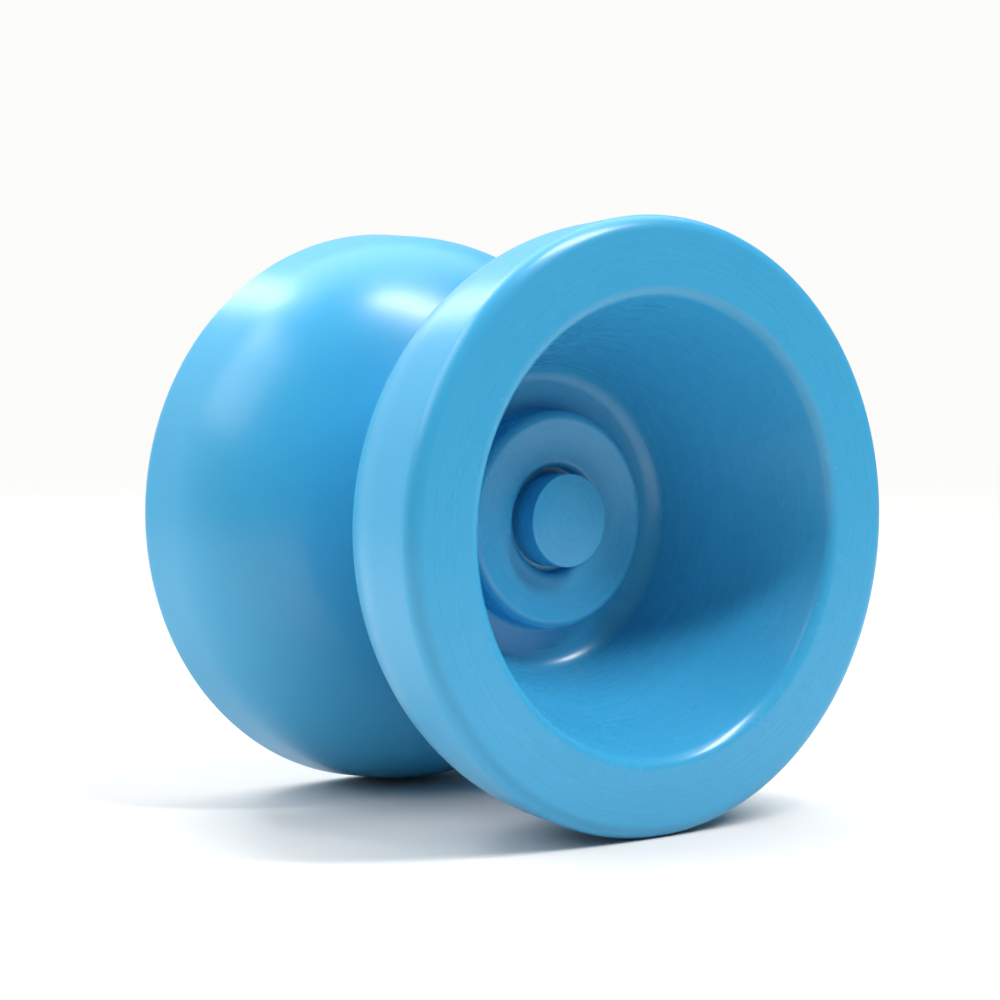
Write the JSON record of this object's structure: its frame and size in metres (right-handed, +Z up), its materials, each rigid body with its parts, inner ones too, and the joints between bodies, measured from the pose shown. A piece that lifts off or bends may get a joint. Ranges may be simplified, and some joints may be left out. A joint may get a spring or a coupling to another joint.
{
  "type": "yo-yo",
  "caption": "Wide butterfly-shaped bearing yo-yo: two machined plastic halves with deep cups, a ball bearing and a threaded axle.",
  "frame": {"origin": "centre of the ball bearing, which is the centre of the whole yo-yo", "axes": "Y is the spin axis, with the front half at -Y and its open cup facing -Y; +Z is up, and the two rims rest on a surface at z = -0.028"},
  "size_m": [0.056, 0.0454, 0.056],
  "materials": {
    "blue_acetal": "satin, machined, solid colour",
    "brass": "turned",
    "black_oxide_steel": "black oxide",
    "bearing_steel": "ground and polished",
    "ball_steel": "mirror polished",
    "cage_steel": "pressed sheet",
    "shield_steel": "pressed sheet",
    "spring_wire": "drawn wire",
    "silicone": "matte"
  },
  "bodies": {
    "root": {"front_half": "blue_acetal", "front_insert": "brass", "front_pad": "silicone", "axle": "black_oxide_steel", "inner_race": "bearing_steel"},
    "back_pad": {"back_pad": "silicone"},
    "back_half": {"back_half": "blue_acetal", "back_insert": "brass"},
    "outer_race": {"outer_race": "bearing_steel", "front_shield": "shield_steel", "back_shield": "shield_steel", "front_snap_ring": "spring_wire", "back_snap_ring": "spring_wire"},
    "cage": {"cage": "cage_steel"},
    "ball_1": {"ball_1": "ball_steel"},
    "ball_2": {"ball_2": "ball_steel"},
    "ball_3": {"ball_3": "ball_steel"},
    "ball_4": {"ball_4": "ball_steel"},
    "ball_5": {"ball_5": "ball_steel"},
    "ball_6": {"ball_6": "ball_steel"},
    "ball_7": {"ball_7": "ball_steel"},
    "ball_8": {"ball_8": "ball_steel"},
    "ball_9": {"ball_9": "ball_steel"},
    "ball_10": {"ball_10": "ball_steel"}
  },
  "joints": [
    {"name": "back_half_unscrew_travel", "type": "slide", "parent": "root", "child": "back_pad", "axis": [0, 1, 0], "range_m": [0, 0.0063]},
    {"name": "back_half_unscrew", "type": "hinge", "parent": "back_pad", "child": "back_half", "pos_m": [0, 0, 0], "axis": [0, 1, 0], "range_deg": [0, 3240]},
    {"name": "outer_race_spin", "type": "hinge", "parent": "root", "child": "outer_race", "pos_m": [0, 0, 0], "axis": [0, 1, 0], "continuous": true},
    {"name": "cage_spin", "type": "hinge", "parent": "root", "child": "cage", "pos_m": [0, 0, 0], "axis": [0, 1, 0], "continuous": true},
    {"name": "ball_1_spin", "type": "hinge", "parent": "cage", "child": "ball_1", "pos_m": [0, 0, 0.00476], "axis": [0, 1, 0], "continuous": true},
    {"name": "ball_2_spin", "type": "hinge", "parent": "cage", "child": "ball_2", "pos_m": [0.0028, 0, 0.00385], "axis": [0, 1, 0], "continuous": true},
    {"name": "ball_3_spin", "type": "hinge", "parent": "cage", "child": "ball_3", "pos_m": [0.00453, 0, 0.00147], "axis": [0, 1, 0], "continuous": true},
    {"name": "ball_4_spin", "type": "hinge", "parent": "cage", "child": "ball_4", "pos_m": [0.00453, 0, -0.00147], "axis": [0, 1, 0], "continuous": true},
    {"name": "ball_5_spin", "type": "hinge", "parent": "cage", "child": "ball_5", "pos_m": [0.0028, 0, -0.00385], "axis": [0, 1, 0], "continuous": true},
    {"name": "ball_6_spin", "type": "hinge", "parent": "cage", "child": "ball_6", "pos_m": [0, 0, -0.00476], "axis": [0, 1, 0], "continuous": true},
    {"name": "ball_7_spin", "type": "hinge", "parent": "cage", "child": "ball_7", "pos_m": [-0.0028, 0, -0.00385], "axis": [0, 1, 0], "continuous": true},
    {"name": "ball_8_spin", "type": "hinge", "parent": "cage", "child": "ball_8", "pos_m": [-0.00453, 0, -0.00147], "axis": [0, 1, 0], "continuous": true},
    {"name": "ball_9_spin", "type": "hinge", "parent": "cage", "child": "ball_9", "pos_m": [-0.00453, 0, 0.00147], "axis": [0, 1, 0], "continuous": true},
    {"name": "ball_10_spin", "type": "hinge", "parent": "cage", "child": "ball_10", "pos_m": [-0.0028, 0, 0.00385], "axis": [0, 1, 0], "continuous": true}
  ],
  "couplings": [
    {"joint": "back_half_unscrew_travel", "follows": "back_half_unscrew", "m_per_rad": 0.00011141},
    {"joint": "cage_spin", "follows": "outer_race_spin", "ratio": 0.58336},
    {"joint": "ball_1_spin", "follows": "outer_race_spin", "ratio": 2.9157},
    {"joint": "ball_2_spin", "follows": "outer_race_spin", "ratio": 2.9157},
    {"joint": "ball_3_spin", "follows": "outer_race_spin", "ratio": 2.9157},
    {"joint": "ball_4_spin", "follows": "outer_race_spin", "ratio": 2.9157},
    {"joint": "ball_5_spin", "follows": "outer_race_spin", "ratio": 2.9157},
    {"joint": "ball_6_spin", "follows": "outer_race_spin", "ratio": 2.9157},
    {"joint": "ball_7_spin", "follows": "outer_race_spin", "ratio": 2.9157},
    {"joint": "ball_8_spin", "follows": "outer_race_spin", "ratio": 2.9157},
    {"joint": "ball_9_spin", "follows": "outer_race_spin", "ratio": 2.9157},
    {"joint": "ball_10_spin", "follows": "outer_race_spin", "ratio": 2.9157}
  ]
}
